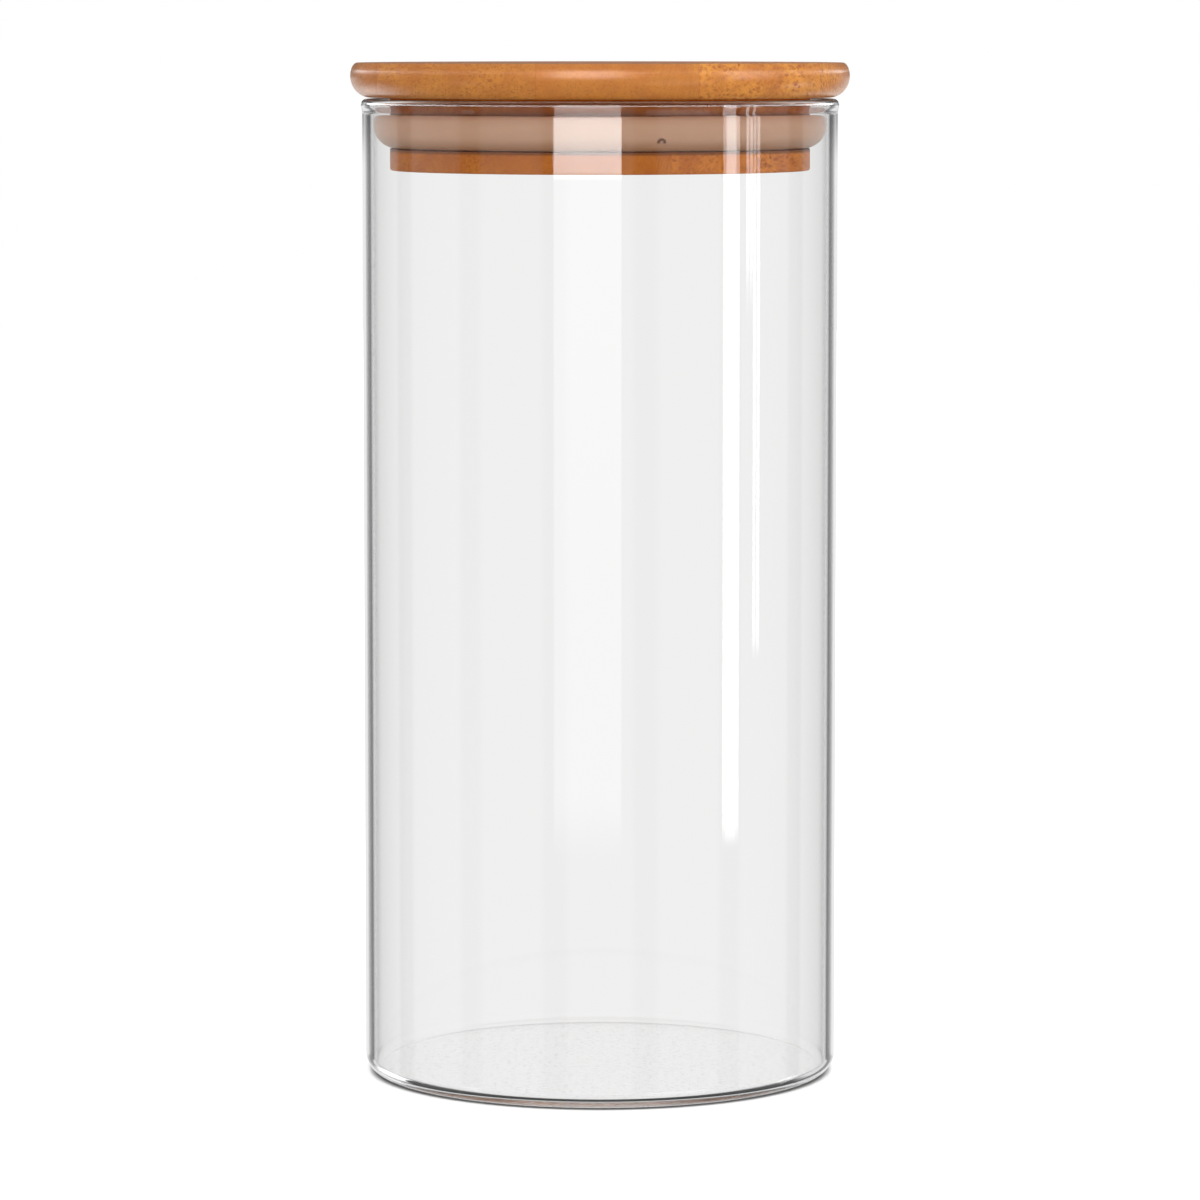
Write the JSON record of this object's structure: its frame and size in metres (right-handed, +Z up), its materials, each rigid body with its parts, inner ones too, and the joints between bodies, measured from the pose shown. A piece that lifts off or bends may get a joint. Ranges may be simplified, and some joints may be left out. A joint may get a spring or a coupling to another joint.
{
  "type": "lidded glass canister",
  "caption": "Straight clear glass canister with a rounded foot and a push-in bamboo lid, sealed by a silicone ring and wide enough to rest on the rim.",
  "frame": {"origin": "centre of the underside of the glass body, on the surface that the canister stands on", "axes": "+Z up along the axis of the glass, the lid and the ring, which is also the way the lid lifts; X and Y are free, because every piece is round"},
  "size_m": [0.105, 0.105, 0.214],
  "materials": {
    "clear_glass": "clear, smooth, fire-polished rim",
    "bamboo_plate": "laminated bamboo, satin clear coat",
    "bamboo_plug": "laminated bamboo, turned, satin clear coat",
    "silicone": "translucent milky silicone, satin"
  },
  "bodies": {
    "glass": {"glass_body": "clear_glass"},
    "seal": {"seal_ring": "silicone"},
    "lid": {"lid_plate": "bamboo_plate", "lid_plug": "bamboo_plug"}
  },
  "joints": [
    {"name": "lid_lift", "type": "slide", "parent": "glass", "child": "seal", "axis": [0, 0, 1], "range_m": [0, 0.12]},
    {"name": "lid_twist", "type": "hinge", "parent": "seal", "child": "lid", "pos_m": [0, 0, 0.2], "axis": [0, 0, 1], "continuous": true}
  ]
}
